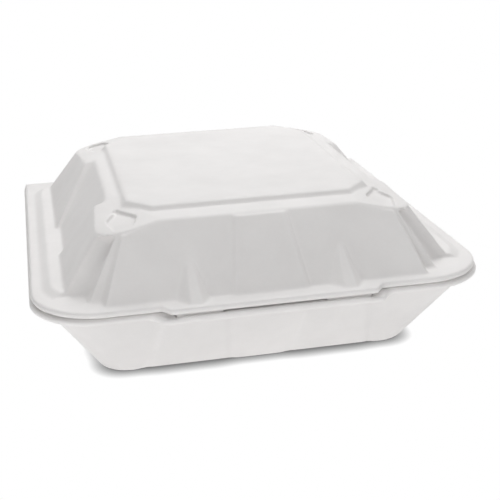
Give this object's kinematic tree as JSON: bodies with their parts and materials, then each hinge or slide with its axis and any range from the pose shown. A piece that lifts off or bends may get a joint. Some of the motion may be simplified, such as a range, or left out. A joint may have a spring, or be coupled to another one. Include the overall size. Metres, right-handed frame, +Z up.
{
  "type": "foam clamshell container",
  "caption": "Square white foam takeaway container with a hinged lid, sloping ribbed walls, raised lid top and a tuck-in front lock.",
  "frame": {"origin": "middle of the tray's foot pattern, on the surface that it stands on", "axes": "+X to the right, +Y to the hinge, -Y to the front lock, +Z up"},
  "size_m": [0.2318, 0.237, 0.0855],
  "materials": {
    "foam": "white expanded polystyrene foam with a smooth moulded skin"
  },
  "bodies": {
    "tray": {"base": "foam"},
    "cover": {"lid": "foam"}
  },
  "joints": [
    {"name": "lid_hinge", "type": "hinge", "parent": "tray", "child": "cover", "pos_m": [0, 0.115, 0.0465], "axis": [-1, 0, 0], "range_deg": [0, 180]}
  ]
}
